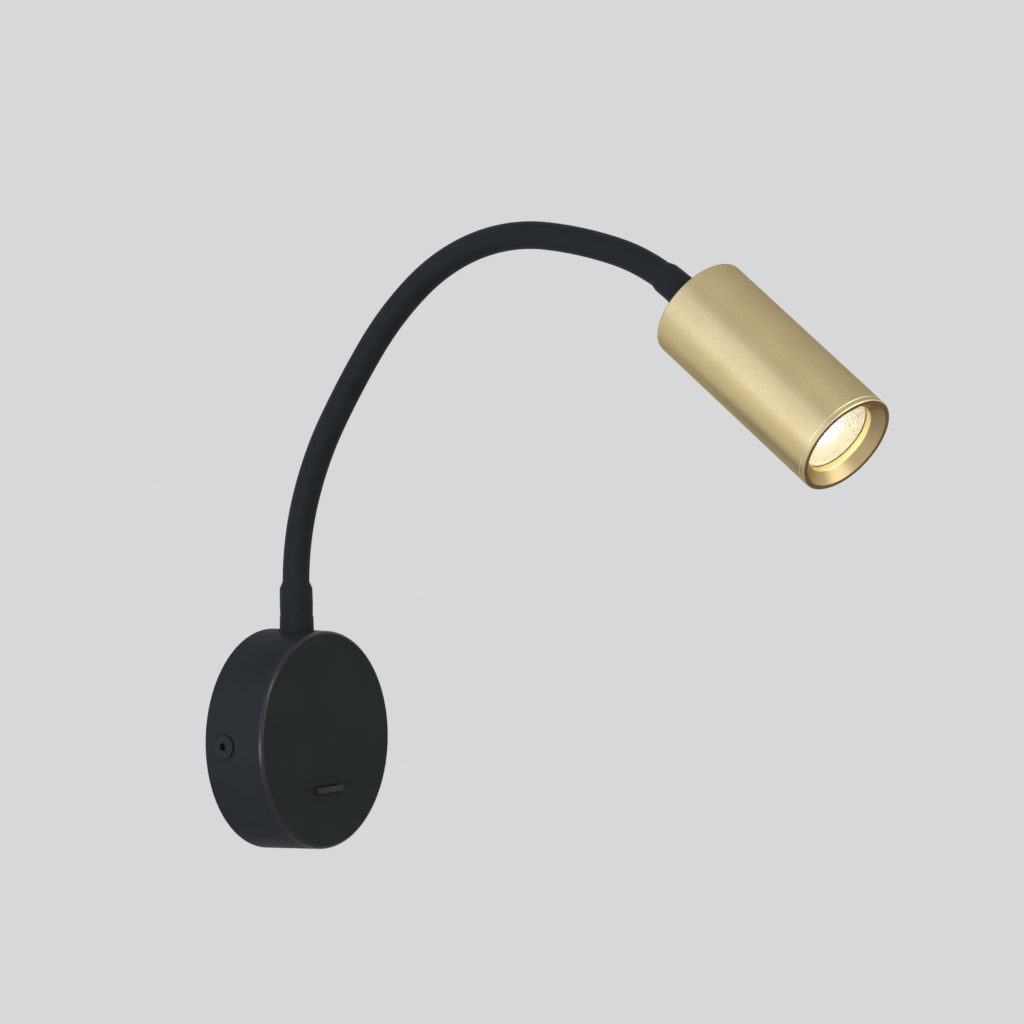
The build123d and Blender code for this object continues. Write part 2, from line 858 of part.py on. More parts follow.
with BuildPart() as lamp_pins:
    pin_places = [(0, -pin_pitch / 2), (0, pin_pitch / 2)]
    with BuildSketch(head_frame.offset(lamp_foot - pin_length)):
        with Locations(*pin_places):
            Circle(pin_head_radius)
    extrude(amount=pin_head_height)
    with BuildSketch(head_frame.offset(lamp_foot - pin_length)):
        with Locations(*pin_places):
            Circle(pin_radius)
    extrude(amount=pin_length + pin_root)
save(lamp_pins, "lamp_pins")

# ---------------------------------------------------------------- lampholder and its strap
holder_foot = lamp_foot - holder_height
flange_foot = holder_foot - strap_thickness

with BuildPart() as lampholder:
    disc(head_frame, holder_radius, holder_foot, lamp_foot)
    with BuildSketch(head_frame.offset(lamp_foot)):
        with Locations(*pin_places):
            Circle(pin_head_radius + pin_well_gap)
    extrude(amount=-(pin_length + pin_well_gap), mode=Mode.SUBTRACT)
    with BuildSketch(head_frame.offset(holder_foot)):
        with Locations((-holder_lead_pitch / 2, 0), (holder_lead_pitch / 2, 0)):
            Circle(lead_radius + fit_gap)
    extrude(amount=holder_lead_depth, mode=Mode.SUBTRACT)
    with BuildSketch(head_frame.offset(holder_foot)):
        with Locations((-holder_screw_pitch / 2, 0), (holder_screw_pitch / 2, 0)):
            Circle(small_screw_radius + fit_gap)
    extrude(amount=holder_height / 2, mode=Mode.SUBTRACT)
save(lampholder, "lampholder")

with BuildPart() as holder_bracket:
    strap_side = section(head_frame).offset(-strap_width / 2)
    with BuildSketch(strap_side):
        with Locations((0, (head_back + holder_foot) / 2)):
            Rectangle(strap_reach * 2, holder_foot - head_back)
            Rectangle(
                (strap_reach - strap_thickness) * 2,
                holder_foot - head_back - strap_thickness * 2,
                mode=Mode.SUBTRACT,
            )
        with Locations((0, holder_foot)):
            Rectangle(
                (strap_reach - strap_flange) * 2, strap_thickness * 3, mode=Mode.SUBTRACT
            )
    extrude(amount=strap_width)
    disc(head_frame, thread_radius + fit_gap, 0, head_back + strap_thickness, Mode.SUBTRACT)
    with BuildSketch(head_frame.offset(flange_foot)):
        with Locations((-holder_screw_pitch / 2, 0), (holder_screw_pitch / 2, 0)):
            Circle(small_screw_radius + fit_gap)
    extrude(amount=strap_thickness, mode=Mode.SUBTRACT)
save(holder_bracket, "holder_bracket")

with BuildPart() as holder_screws:
    with BuildSketch(head_frame.offset(flange_foot)):
        with Locations((-holder_screw_pitch / 2, 0), (holder_screw_pitch / 2, 0)):
            Circle(small_head_radius)
    extrude(amount=-small_head_height)
    with BuildSketch(head_frame.offset(flange_foot)):
        with Locations((-holder_screw_pitch / 2, 0), (holder_screw_pitch / 2, 0)):
            Circle(small_screw_radius)
    extrude(amount=strap_thickness + holder_height / 2 - fit_gap)
save(holder_screws, "holder_screws")

# ---------------------------------------------------------------- leads
block_low = block_z - block_height / 2
block_high = block_z + block_height / 2
port_y = -port_out
blade_y = -(switch_back - blade_length / 2)
blade_top = rocker_z + blade_width / 2 + lead_radius
neck_left = base_seat.origin - base_seat.x_dir * lead_offset
neck_right = base_seat.origin + base_seat.x_dir * lead_offset
entry_z = neck_seat - base_thread_length
lead_end_z = neck_seat + base_end_length

with BuildPart() as live_lead:
    lead(
        [
            (pole_places[0], port_y, block_low + lead_grip),
            (pole_places[0], port_y, block_low - lead_tail),
            (-blade_pitch / 2, blade_y, blade_top + live_rise),
            (-blade_pitch / 2, blade_y, blade_top),
        ]
    )
save(live_lead, "live_lead")

with BuildPart() as switched_lead:
    lead(
        [
            (blade_pitch / 2, blade_y, blade_top),
            (blade_pitch / 2, blade_y, blade_top + switched_rise),
            (blade_pitch / 2, -(block_top + block_lift), block_low - lead_tail),
            (lead_radius * 2, -(block_top + block_lift + lead_radius), block_high),
            (neck_left.X, neck_left.Y, entry_z - lead_radius),
            (neck_left.X, neck_left.Y, lead_end_z),
        ]
    )
    ball(pivots[0].origin, base_ball, Mode.SUBTRACT)
save(switched_lead, "switched_lead")

with BuildPart() as neutral_lead:
    lead(
        [
            (pole_places[1], port_y, block_high - lead_grip),
            (pole_places[1], port_y, block_high + short_tail),
            (neck_right.X, neck_right.Y, entry_z - lead_radius),
            (neck_right.X, neck_right.Y, lead_end_z),
        ]
    )
    ball(pivots[0].origin, base_ball, Mode.SUBTRACT)
save(neutral_lead, "neutral_lead")

tag_lead_y = -(plate_thickness + tag_thickness + lead_radius)
tag_end_z = tag_z + tag_radius + tag_barrel_length
with BuildPart() as earth_lead:
    lead(
        [
            (pole_places[2], port_y, block_low + lead_grip),
            (pole_places[2], port_y, block_low - lead_tail),
            (tag_x, tag_lead_y, tag_end_z + short_tail),
            (tag_x, tag_lead_y, tag_end_z - tag_barrel_length + lead_radius),
        ]
    )
save(earth_lead, "earth_lead")

with BuildPart() as head_leads:
    nose(last_pivot, lead_face(last_pivot), head_ball)
    for side in (-1, 1):
        stops = [
            (side * lead_offset, -head_end_length),
            (side * lead_offset, head_thread_length),
            (side * holder_lead_pitch / 2, (head_thread_length + holder_foot) / 2),
            (side * holder_lead_pitch / 2, holder_foot + holder_lead_depth - fit_gap),
        ]
        lead([along(head_frame, s) + head_frame.x_dir * x for x, s in stops])
save(head_leads, "head_leads")
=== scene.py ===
import json
from math import cos, pi, radians, sin

import bpy
from mathutils import Matrix, Quaternion, Vector


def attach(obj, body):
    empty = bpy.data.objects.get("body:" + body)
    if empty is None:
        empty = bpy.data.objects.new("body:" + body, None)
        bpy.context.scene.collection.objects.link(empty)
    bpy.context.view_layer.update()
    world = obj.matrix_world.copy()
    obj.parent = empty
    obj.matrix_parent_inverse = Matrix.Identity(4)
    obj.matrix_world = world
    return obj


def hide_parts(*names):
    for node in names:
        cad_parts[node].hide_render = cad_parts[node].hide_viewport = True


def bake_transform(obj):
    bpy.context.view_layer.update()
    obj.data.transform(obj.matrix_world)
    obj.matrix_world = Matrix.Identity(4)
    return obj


MM = 0.001

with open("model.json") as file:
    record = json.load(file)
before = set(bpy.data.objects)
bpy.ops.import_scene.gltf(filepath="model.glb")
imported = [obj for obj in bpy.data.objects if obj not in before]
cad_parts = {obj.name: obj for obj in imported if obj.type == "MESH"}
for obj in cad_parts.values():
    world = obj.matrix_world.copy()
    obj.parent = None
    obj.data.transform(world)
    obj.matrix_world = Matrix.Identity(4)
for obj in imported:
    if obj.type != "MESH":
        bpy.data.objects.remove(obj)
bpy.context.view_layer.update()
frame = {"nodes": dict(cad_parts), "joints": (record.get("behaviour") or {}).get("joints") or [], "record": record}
nodes = frame["nodes"]

# ---------------------------------------------------------------- sizes, in millimetres
# the neck
SEAT_TO_FIRST_PIVOT = 22.5
LAST_PIVOT_TO_HEAD = 14.0
SKIN_BORE = 6.6
# the lower collar's outer radius at distances from the box, and the upper one's from the head
LOWER_COLLAR = (
    (0.0, 9.1), (7.6, 8.9), (8.5, 8.64), (9.6, 8.68), (15.5, 8.8), (22.9, 8.65), (26.4, 7.1),
)
UPPER_COLLAR = ((0.0, 8.55), (15.6, 8.5), (16.3, 8.38), (25.6, 8.2), (29.6, 7.1))
# the head, with depths measured from its back
HEAD_LENGTH = 113.5
SHELL_END = 110.5
RING_CHAMFER = 0.5
RING_FOOT = 104.5
CONE_FOOT = 108.1
CONE_MOUTH_RADIUS = 24.8
RING_BORE_RADIUS = 19.7
# the lamp's lens
LENS_RADIUS = 19.3
LENS_FRONT = 104.7
LENS_BACK = 98.7
LENS_POCKET_RADIUS = 6.5
LENS_POCKET_FLOOR = 101.2
# the box
BOX_DEPTH = 36.0
BOX_FACE_RADIUS = 57.5

# ---------------------------------------------------------------- the neck's line, from the joints
pivots = {}
for joint in frame["joints"]:
    if joint["name"].startswith("neck_"):
        pivots[int(joint["name"].rsplit("_", 1)[1])] = Vector(joint["pos_m"])
        if joint["name"] == "neck_bend_1":
            bend_axis = Vector(joint["axis"]).normalized()
pivot_points = [pivots[number] for number in sorted(pivots)]
neck_seat = pivot_points[0] - Vector((0, 0, SEAT_TO_FIRST_PIVOT * MM))


def spin(angle):
    """Turns a direction about the neck's bend axis."""
    return Quaternion(bend_axis, angle)


def neck_runs():
    """Each run of the neck as (start, direction, length, turn): straight ends and arcs between."""
    direction = Vector((0, 0, 1))
    runs = [(neck_seat, direction.copy(), SEAT_TO_FIRST_PIVOT * MM, 0.0)]
    for start, end in zip(pivot_points, pivot_points[1:]):
        chord = end - start
        turn = 2 * direction.angle(chord)
        length = chord.length * (turn / 2) / sin(turn / 2)
        runs.append((start, direction.copy(), length, turn))
        direction = spin(turn) @ direction
    runs.append((pivot_points[-1], direction.copy(), LAST_PIVOT_TO_HEAD * MM, 0.0))
    return runs


RUNS = neck_runs()
RUN_STARTS = [sum(run[2] for run in RUNS[:index]) for index in range(len(RUNS) + 1)]
NECK_LENGTH = RUN_STARTS[-1]
head_axis = RUNS[-1][1]
head_back = RUNS[-1][0] + head_axis * LAST_PIVOT_TO_HEAD * MM


def neck_at(distance):
    """(point, direction) on the neck's line at a distance from its seat on the box."""
    index = max(i for i, start in enumerate(RUN_STARTS[:-1]) if start <= distance + 1e-9)
    start, direction, length, turn = RUNS[index]
    along = distance - RUN_STARTS[index]
    if turn == 0:
        return start + direction * along, direction
    angle = turn * along / length
    radius = length / turn
    centre = start - direction.cross(bend_axis) * radius
    return centre + spin(angle) @ (start - centre), spin(angle) @ direction


# ---------------------------------------------------------------- mesh helpers
def mesh_object(name, points, faces, smooth=True):
    """A new mesh piece from points in metres and faces."""
    data = bpy.data.meshes.new(name)
    data.from_pydata([tuple(point) for point in points], [], faces)
    data.update()
    data.polygons.foreach_set("use_smooth", [smooth] * len(data.polygons))
    piece = bpy.data.objects.new(name, data)
    bpy.context.scene.collection.objects.link(piece)
    return piece


def closed_rings(rings):
    """Faces between rings of equal size, the last joined to the first."""
    count = len(rings[0])
    faces = []
    for low, high in zip(rings, rings[1:] + rings[:1]):
        for i in range(count):
            j = (i + 1) % count
            faces.append((low[i], low[j], high[j], high[i]))
    return faces


def smoothstep(value, low, high):
    """0 below one value and 1 above another, with a soft passage between."""
    t = min(max((value - low) / (high - low), 0.0), 1.0)
    return t * t * (3 - 2 * t)


# ---------------------------------------------------------------- materials
def new_material(name):
    """A material with its node tree and its main shader."""
    material = bpy.data.materials.new(name)
    material.use_nodes = True
    tree = material.node_tree
    return material, tree, tree.nodes["Principled BSDF"]


def add(tree, kind, inputs=None, **settings):
    """A shader node with its settings and its unlinked inputs."""
    node = tree.nodes.new(kind)
    for key, value in settings.items():
        setattr(node, key, value)
    for key, value in (inputs or {}).items():
        node.inputs[key].default_value = value
    return node


def object_noise(tree, scale, detail=2.0, stretch=None):
    """Noise fixed to the piece, at a scale per metre, drawn out along an axis if asked."""
    place = add(tree, "ShaderNodeTexCoord").outputs["Object"]
    if stretch:
        mapping = add(tree, "ShaderNodeMapping", {"Scale": stretch})
        tree.links.new(place, mapping.inputs["Vector"])
        place = mapping.outputs["Vector"]
    noise = add(tree, "ShaderNodeTexNoise", {"Scale": scale, "Detail": detail})
    tree.links.new(place, noise.inputs["Vector"])
    return noise.outputs["Fac"]


def ramp(tree, factor, stops):
    """A colour ramp from (position, colour) stops."""
    node = add(tree, "ShaderNodeValToRGB")
    elements = node.color_ramp.elements
    while len(elements) < len(stops):
        elements.new(0.5)
    for element, (position, colour) in zip(elements, stops):
        element.position = position
        element.color = (*colour, 1.0)
    tree.links.new(factor, node.inputs["Fac"])
    return node.outputs["Color"]


def remap(tree, value, low, high, out_low=0.0, out_high=1.0):
    """A value carried from one range over to another, and held at the ends."""
    node = add(
        tree,
        "ShaderNodeMapRange",
        {"From Min": low, "From Max": high, "To Min": out_low, "To Max": out_high},
    )
    tree.links.new(value, node.inputs["Value"])
    return node.outputs["Result"]


# the part of a noise's range that its colours and values are spread over
NOISE_RANGE = (0.3, 0.7)


def two_tone(tree, noise, dark, light):
    """Noise carried over to a passage between two colours."""
    low, high = NOISE_RANGE
    return ramp(tree, noise, [(low, dark), (high, light)])


def drift(tree, noise, low, high):
    """Noise carried over to a range of values."""
    return remap(tree, noise, *NOISE_RANGE, low, high)


def fade(tree, value, line, ways, out_low=0.0, out_high=1.0):
    """A passage between two places given as ways past a line, from 0 to 1 if not told."""
    return remap(tree, value, line + ways[0], line + ways[1], out_low, out_high)


def surface(
    name,
    colour,
    spread=0.12,
    metallic=0.0,
    roughness=0.5,
    rough_spread=0.06,
    cloud_scale=60.0,
    grain_scale=2500.0,
    grain_height=0.00002,
    stretch=None,
    specular=0.5,
):
    """A finish whose colour and gloss drift a little and whose surface has a fine grain."""
    material, tree, shader = new_material(name)
    dark = [channel * (1 - spread) for channel in colour]
    light = [min(channel * (1 + spread), 1.0) for channel in colour]
    clouds = object_noise(tree, cloud_scale, detail=3.0)
    grain = object_noise(tree, grain_scale, stretch=stretch)
    tree.links.new(two_tone(tree, clouds, dark, light), shader.inputs["Base Color"])
    rough = drift(tree, grain, roughness - rough_spread, roughness + rough_spread)
    tree.links.new(rough, shader.inputs["Roughness"])
    add_grain(tree, shader, grain, grain_height)
    shader.inputs["Metallic"].default_value = metallic
    shader.inputs["Specular IOR Level"].default_value = specular
    return material


def from_head_back(tree, operation):
    """A product of the way from the middle of the head's back and the head's axis, per mm."""
    place = add(tree, "ShaderNodeTexCoord").outputs["Object"]
    shift = add(tree, "ShaderNodeVectorMath", {1: tuple(head_back)}, operation="SUBTRACT")
    product = add(
        tree, "ShaderNodeVectorMath", {1: tuple(head_axis / MM)}, operation=operation
    )
    tree.links.new(place, shift.inputs[0])
    tree.links.new(shift.outputs["Vector"], product.inputs[0])
    return product


def head_depth(tree):
    """How far a point lies along the head's axis from the head's back, in millimetres."""
    return from_head_back(tree, "DOT_PRODUCT").outputs["Value"]


def vector_length(tree, vector):
    """The length of a vector."""
    length = add(tree, "ShaderNodeVectorMath", operation="LENGTH")
    tree.links.new(vector, length.inputs[0])
    return length.outputs["Value"]


def axis_distance(tree):
    """How far a point lies from the head's axis, in millimetres."""
    return vector_length(tree, from_head_back(tree, "CROSS_PRODUCT").outputs["Vector"])


def blend_colour(tree, share, first, second):
    """Carries a colour over to another as a share grows from 0 to 1."""
    mix = add(tree, "ShaderNodeMix", {"B": (*second, 1.0)}, data_type="RGBA")
    tree.links.new(share, mix.inputs["Factor"])
    tree.links.new(first, mix.inputs["A"])
    return mix.outputs["Result"]


def band(tree, value, centre, half_width):
    """1 at a value, falling to 0 at a half width to either side of it."""
    size = add(tree, "ShaderNodeMath", operation="ABSOLUTE")
    tree.links.new(combine(tree, "SUBTRACT", value, centre), size.inputs[0])
    return remap(tree, size.outputs["Value"], half_width * 0.5, half_width, 1.0, 0.0)


def combine(tree, operation, first, second):
    """Two values taken together by a math operation, the second one a number or a socket."""
    node = add(tree, "ShaderNodeMath", operation=operation)
    tree.links.new(first, node.inputs[0])
    if isinstance(second, float):
        node.inputs[1].default_value = second
    else:
        tree.links.new(second, node.inputs[1])
    return node.outputs["Value"]


def both(tree, first, second):
    """The product of two shares."""
    return combine(tree, "MULTIPLY", first, second)


def add_grain(tree, shader, grain, height):
    """Raises and lowers the surface by a fine grain of a height in metres."""
    bump = add(tree, "ShaderNodeBump", {"Strength": 1.0, "Distance": height})
    tree.links.new(grain, bump.inputs["Height"])
    tree.links.new(bump.outputs["Normal"], shader.inputs["Normal"])


def set_constants(shader, **values):
    """Sets the shader's own sockets, named with underscores for spaces."""
    for key, value in values.items():
        shader.inputs[key.replace("_", " ")].default_value = value


# the gold finish's colours, with painted reflection, painted lamp light, painted shadow, painted highlights and
# painted shade in some zones, and the ranges of its mottling and its roughness
GOLD_DARK = (0.543, 0.438, 0.222)
GOLD_LIGHT = (0.586, 0.475, 0.244)
# painted reflection: the cone tinted browner for the darker reflections inside it
GOLD_CONE_PAINTED_REFLECTION = (0.56, 0.43, 0.21)
# painted light: the bore's gold painted lighter and yellower for the lamp's light falling on it
GOLD_BORE_PAINTED_LIGHT = (0.98, 0.88, 0.52)
# painted shadow: a dark line in the bore at the ring's foot
GOLD_PAINTED_SHADOW = (0.05, 0.032, 0.008)
# painted highlight: light lines on the chamfers at the joint and the front
GOLD_PAINTED_HIGHLIGHT = (0.86, 0.76, 0.5)
# painted shade: the front land darker and browner
GOLD_LAND_PAINTED_SHADE = (0.19, 0.125, 0.05)
GOLD_TINT = (0.62, 0.52, 0.38, 1.0)
GOLD_MOTTLE = (0.945, 1.045)
GOLD_ROUGHNESS = (0.33, 0.41)
# where its zones come in or go out, in millimetres: the outer face by its radius, the others as
# ways past the cone's mouth and foot, the bore's wall, the ring's foot and the head's front
OUTER_FACE = (26.0, 26.4)
PAST_CONE_MOUTH = (0.4, 0.2)
PAST_CONE_FOOT = (-0.5, -0.1)
PAST_BORE_WALL = (0.1, 0.4)
PAST_RING_FOOT = (0.6, 0.8)
PAST_FRONT = (-0.1, -0.03)
# the painted shadow line's place past the ring's foot, and the half widths of the painted shadow line and of the
# painted highlight lines
SHADOW_LINE_PLACE = 0.25
SHADOW_LINE_HALF = 0.35
JOINT_HIGHLIGHT_HALF = 0.45
FRONT_HIGHLIGHT_HALF = 0.3


def gold():
    """Fine blasted and anodised aluminium, with painted highlights at the turned edges, painted shade on the front
    land, a painted shadow line at the ring's foot, the bore painted lighter for the lamp's light and the cone
    tinted browner for its reflections.
    """
    material, tree, shader = new_material("gold_anodised")
    clouds = object_noise(tree, scale=45.0, detail=4.0)
    mottle = object_noise(tree, scale=900.0, detail=3.0)
    grain = object_noise(tree, scale=2600.0)
    shaded = add(tree, "ShaderNodeVectorMath", operation="SCALE")
    tree.links.new(two_tone(tree, clouds, GOLD_DARK, GOLD_LIGHT), shaded.inputs[0])
    tree.links.new(remap(tree, mottle, 0.35, 0.65, *GOLD_MOTTLE), shaded.inputs["Scale"])
    depth = head_depth(tree)
    radius = axis_distance(tree)
    outside = remap(tree, radius, *OUTER_FACE)
    # painted reflection: the cone's browner tint
    cone_painted_reflection = both(
        tree,
        fade(tree, radius, CONE_MOUTH_RADIUS, PAST_CONE_MOUTH),
        fade(tree, depth, CONE_FOOT, PAST_CONE_FOOT),
    )
    bore = fade(tree, radius, RING_BORE_RADIUS, PAST_BORE_WALL, 1.0, 0.0)
    # painted light: the bore's wall painted lighter for the lamp's light
    bore_painted_light = both(tree, bore, fade(tree, depth, RING_FOOT, PAST_RING_FOOT))
    # painted shadow: a dark line at the ring's foot
    painted_shadow_line = both(tree, bore, band(tree, depth, RING_FOOT + SHADOW_LINE_PLACE, SHADOW_LINE_HALF))
    # painted highlights: light lines on the chamfers at the joint and the front
    joint_painted_highlight = both(tree, band(tree, depth, SHELL_END, JOINT_HIGHLIGHT_HALF), outside)
    front_edge = HEAD_LENGTH - RING_CHAMFER / 2
    front_painted_highlight = both(tree, band(tree, depth, front_edge, FRONT_HIGHLIGHT_HALF), outside)
    # painted shade: the darker front land
    land_painted_shade = fade(tree, depth, HEAD_LENGTH, PAST_FRONT)
    colour = shaded.outputs["Vector"]
    for share, zone_colour in (
        (cone_painted_reflection, GOLD_CONE_PAINTED_REFLECTION),
        (bore_painted_light, GOLD_BORE_PAINTED_LIGHT),
        (painted_shadow_line, GOLD_PAINTED_SHADOW),
        (joint_painted_highlight, GOLD_PAINTED_HIGHLIGHT),
        (front_painted_highlight, GOLD_PAINTED_HIGHLIGHT),
        (land_painted_shade, GOLD_LAND_PAINTED_SHADE),
    ):
        colour = blend_colour(tree, share, colour, zone_colour)
    tree.links.new(colour, shader.inputs["Base Color"])
    tree.links.new(drift(tree, grain, *GOLD_ROUGHNESS), shader.inputs["Roughness"])
    add_grain(tree, shader, grain, height=0.000012)
    set_constants(
        shader,
        Metallic=1.0,
        Specular_Tint=GOLD_TINT,
        Coat_Weight=0.3,
        Coat_Roughness=0.42,
        Coat_IOR=1.5,
    )
    return material


def lamp_glow(tree, stops):
    """The lamp's light over its radius, from (share of the lens's radius, colour) stops."""
    radius = axis_distance(tree)
    return ramp(tree, remap(tree, radius, 0.0, LENS_RADIUS), stops), radius


# the lit board: its hot spot's radii in millimetres and its strengths inside and outside them
HOT_SPOT = (4.0, 9.5)
HOT_SPOT_STRENGTH = (5.0, 0.42)
BOARD_GLOW = [
    (0.0, (1.0, 0.98, 0.93)),
    (0.3, (1.0, 0.93, 0.78)),
    (0.55, (1.0, 0.82, 0.56)),
    (1.0, (0.95, 0.66, 0.34)),
]
BOARD_DARK = (0.8, 0.72, 0.5)
BOARD_LIGHT = (0.95, 0.9, 0.75)


def glowing_board():
    """The lamp's board, lit by its chip: white hot in the middle and warm towards the edge."""
    material, tree, shader = new_material("lamp_board")
    glow, radius = lamp_glow(tree, BOARD_GLOW)
    pits = two_tone(tree, object_noise(tree, scale=900.0, detail=1.0), BOARD_DARK, BOARD_LIGHT)
    strength = remap(tree, radius, *HOT_SPOT, *HOT_SPOT_STRENGTH)
    tree.links.new(pits, shader.inputs["Base Color"])
    tree.links.new(glow, shader.inputs["Emission Color"])
    tree.links.new(strength, shader.inputs["Emission Strength"])
    return material


# the lens: the light it carries in the middle and at its edge, where its dark rim comes in (in
# millimetres past its radius), its roughness and its colours
LENS_CARRIED = (0.14, 0.09)
LENS_DARK_RIM = (-0.5, -0.2)
LENS_ROUGHNESS = (0.05, 0.14)
LENS_GLOW = [
    (0.0, (1.0, 0.96, 0.86)),
    (0.45, (1.0, 0.9, 0.7)),
    (0.8, (1.0, 0.84, 0.6)),
    (1.0, (1.0, 0.78, 0.48)),
]
LENS_DARK = (0.97, 0.95, 0.9)
LENS_LIGHT = (1.0, 0.99, 0.96)


def clear_lens():
    """A clear moulded lens that carries some of the lamp's light in its facets."""
    material, tree, shader = new_material("clear_lens")
    glow, radius = lamp_glow(tree, LENS_GLOW)
    haze = object_noise(tree, scale=1400.0, detail=1.0)
    carried = remap(tree, radius, 0.0, LENS_RADIUS, *LENS_CARRIED)
    inside = fade(tree, radius, LENS_RADIUS, LENS_DARK_RIM, 1.0, 0.0)
    tint = two_tone(tree, haze, LENS_DARK, LENS_LIGHT)
    tree.links.new(tint, shader.inputs["Base Color"])
    tree.links.new(drift(tree, haze, *LENS_ROUGHNESS), shader.inputs["Roughness"])
    tree.links.new(glow, shader.inputs["Emission Color"])
    tree.links.new(both(tree, carried, inside), shader.inputs["Emission Strength"])
    set_constants(shader, Transmission_Weight=0.92, IOR=1.45)
    return material


SHEATH_GREEN = (0.03, 0.3, 0.05)
SHEATH_YELLOW = (0.75, 0.62, 0.03)
SHEATH_ROUGHNESS = (0.3, 0.45)


def earth_sheath():
    """Green sheath with yellow stripes along it."""
    material, tree, shader = new_material("earth_sheath")
    stripes = object_noise(tree, scale=500.0, detail=0.0, stretch=(1.0, 1.0, 0.05))
    striped = ramp(tree, stripes, [(0.48, SHEATH_GREEN), (0.52, SHEATH_YELLOW)])
    tree.links.new(striped, shader.inputs["Base Color"])
    rough = drift(tree, object_noise(tree, scale=900.0), *SHEATH_ROUGHNESS)
    tree.links.new(rough, shader.inputs["Roughness"])
    return material


# the paint's colours and roughness, how much smoother and glossier its rounded front edge is,
# and where that edge comes in, in millimetres past the face's radius and behind the face
PAINT_DARK = (0.0195, 0.0228, 0.0232)
PAINT_LIGHT = (0.0228, 0.0264, 0.0269)
PAINT_EDGE = (0.0124, 0.0144, 0.0147)
PAINT_ROUGHNESS = (0.44, 0.52)
EDGE_SMOOTHING = 0.16
EDGE_COAT = 0.7
PAST_FACE_RADIUS = (-2.0, -0.9)
BEHIND_FACE = (2.5, 1.3)


def black_paint():
    """Matt black powder coat, a little darker and glossier on the rounded front edge."""
    material, tree, shader = new_material("black_paint")
    clouds = object_noise(tree, scale=30.0, detail=3.0)
    grain = object_noise(tree, scale=2200.0)
    tone = two_tone(tree, clouds, PAINT_DARK, PAINT_LIGHT)
    place = add(tree, "ShaderNodeSeparateXYZ")
    tree.links.new(add(tree, "ShaderNodeTexCoord").outputs["Object"], place.inputs[0])
    flat = add(tree, "ShaderNodeCombineXYZ")
    tree.links.new(place.outputs["X"], flat.inputs["X"])
    tree.links.new(place.outputs["Z"], flat.inputs["Z"])
    reach = vector_length(tree, flat.outputs["Vector"])
    rim = remap(tree, reach, *[(BOX_FACE_RADIUS + way) * MM for way in PAST_FACE_RADIUS])
    front = remap(tree, place.outputs["Y"], *[(way - BOX_DEPTH) * MM for way in BEHIND_FACE])
    edge = both(tree, rim, front)
    tree.links.new(blend_colour(tree, edge, tone, PAINT_EDGE), shader.inputs["Base Color"])
    rough = drift(tree, grain, *PAINT_ROUGHNESS)
    smoother = combine(tree, "MULTIPLY", edge, EDGE_SMOOTHING)
    tree.links.new(combine(tree, "SUBTRACT", rough, smoother), shader.inputs["Roughness"])
    tree.links.new(combine(tree, "MULTIPLY", edge, EDGE_COAT), shader.inputs["Coat Weight"])
    add_grain(tree, shader, grain, height=0.00003)
    set_constants(shader, Coat_Roughness=0.28, Coat_IOR=1.5, Specular_IOR_Level=0.03)
    return material


MATERIALS = {
    "black_paint": black_paint(),
    "black_steel": surface(
        "black_steel", (0.0172, 0.0195, 0.0198), 0.1, roughness=0.45, grain_scale=3500.0,
        grain_height=0.00001, specular=0.08,
    ),
    "zinc_plate": surface(
        "zinc_plate", (0.52, 0.53, 0.55), metallic=1.0, roughness=0.36, rough_spread=0.08,
        cloud_scale=90.0, grain_scale=900.0, grain_height=0.00001, stretch=(1.0, 1.0, 0.04),
    ),
    "black_rubber": surface(
        "black_rubber", (0.0108, 0.0132, 0.0136), 0.14, roughness=0.6, cloud_scale=70.0,
        grain_scale=3200.0, grain_height=0.00004, specular=0.1,
    ),
    "black_moulding": surface(
        "black_moulding", (0.0245, 0.0279, 0.0284), 0.1, roughness=0.42, grain_scale=2600.0,
        specular=0.12,
    ),
    "brass": surface(
        "brass", (0.72, 0.52, 0.22), metallic=1.0, roughness=0.26, rough_spread=0.08,
        cloud_scale=140.0, grain_scale=1800.0, grain_height=0.00001,
    ),
    "natural_moulding": surface("natural_moulding", (0.72, 0.7, 0.62), 0.05, roughness=0.45),
    "conduit_steel": surface(
        "conduit_steel", (0.4, 0.41, 0.43), 0.18, metallic=1.0, roughness=0.42,
        rough_spread=0.1, cloud_scale=200.0, grain_scale=800.0, grain_height=0.0001,
    ),
    "white_sheath": surface("white_sheath", (0.72, 0.72, 0.7), 0.05, roughness=0.38),
    "brown_sheath": surface("brown_sheath", (0.16, 0.06, 0.02), 0.1, roughness=0.38),
    "earth_sheath": earth_sheath(),
    "gold_anodised": gold(),
    "white_ceramic": surface(
        "white_ceramic", (0.76, 0.74, 0.68), 0.06, roughness=0.6, grain_scale=1500.0,
        grain_height=0.00004,
    ),
    "white_moulding": surface("white_moulding", (0.74, 0.74, 0.72), 0.04, roughness=0.35),
    "clear_lens": clear_lens(),
    "lamp_board": glowing_board(),
}


def finish_with(piece, slot):
    """Gives a piece the material of one of the record's slots."""
    piece.data.materials.clear()
    piece.data.materials.append(MATERIALS[slot])


for entry in frame["record"]["subparts"]:
    finish_with(nodes[entry["node"]], entry["material_slot"])

# ---------------------------------------------------------------- the neck's rubber skin
SKIN_SIDES = 64
RING_STEP = 0.8 * MM


def along_profile(value, profile):
    """The radius at a place on a profile of (place, radius) corners."""
    for (low, low_radius), (high, high_radius) in zip(profile, profile[1:]):
        if value <= high:
            return low_radius + (high_radius - low_radius) * (value - low) / (high - low)
    return profile[-1][1]


def skin_radius(distance):
    """The skin's outer radius in millimetres at a distance in millimetres from the box."""
    to_head = max(NECK_LENGTH / MM - distance, 0.0)
    return max(along_profile(distance, LOWER_COLLAR), along_profile(to_head, UPPER_COLLAR))


